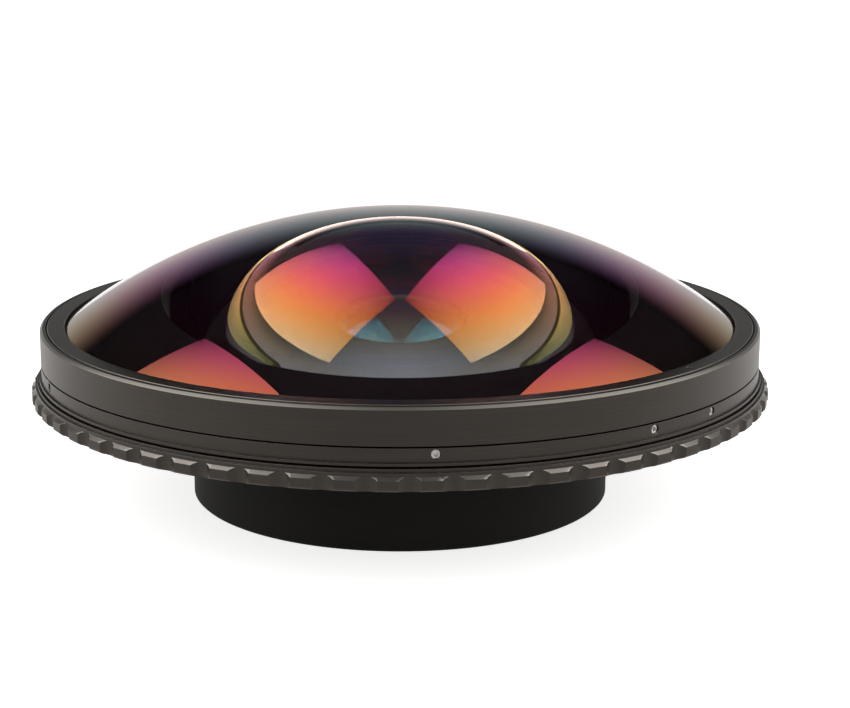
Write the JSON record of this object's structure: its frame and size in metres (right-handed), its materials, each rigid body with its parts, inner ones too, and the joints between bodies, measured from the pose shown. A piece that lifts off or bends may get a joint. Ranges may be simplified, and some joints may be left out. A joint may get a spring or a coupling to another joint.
{
  "type": "fisheye conversion lens",
  "caption": "Fisheye conversion lens with a large domed front glass in a swivelling metal head, a notched lock ring and a threaded rear barrel.",
  "frame": {"origin": "centre of the barrel's rear face", "axes": "+Z along the optical axis towards the domed front glass, -Y towards the pictured front"},
  "size_m": [0.14, 0.14, 0.0541],
  "materials": {
    "head_metal": "satin black anodised, fine turned grain",
    "barrel_metal": "satin black anodised",
    "cell_metal": "flat black",
    "steel": "bright",
    "washer": "smooth",
    "fibre": "matt",
    "rubber": "matt",
    "front_glass": "polished, warm multi-layer coating, black edge paint",
    "inner_glass": "polished, blue-green coating"
  },
  "bodies": {
    "mount": {"rear_barrel": "barrel_metal", "mount_thread_ring": "barrel_metal", "lip_washer": "washer", "barrel_washer": "washer", "lock_snap_ring": "steel"},
    "head": {"head_base": "head_metal", "lower_band": "head_metal", "head_shell": "head_metal", "set_screws": "steel", "seat_shim": "fibre", "front_element": "front_glass", "front_gasket": "rubber", "front_retaining_ring": "head_metal", "swivel_neck": "cell_metal", "swivel_retaining_ring": "cell_metal", "lens_cell": "cell_metal", "rear_retaining_ring": "cell_metal", "flint_element": "inner_glass", "crown_element": "inner_glass", "element_spacer": "cell_metal", "second_element": "inner_glass", "second_retaining_ring": "cell_metal"},
    "lock": {"lock_ring": "head_metal", "lock_pad": "fibre"}
  },
  "joints": [
    {"name": "head_swivel", "type": "hinge", "parent": "mount", "child": "head", "pos_m": [0, 0, 0.016], "axis": [0, 0, 1], "continuous": true},
    {"name": "lock_turn", "type": "hinge", "parent": "mount", "child": "lock", "pos_m": [0, 0, 0.0197], "axis": [0, 0, 1], "range_deg": [0, 24]}
  ]
}
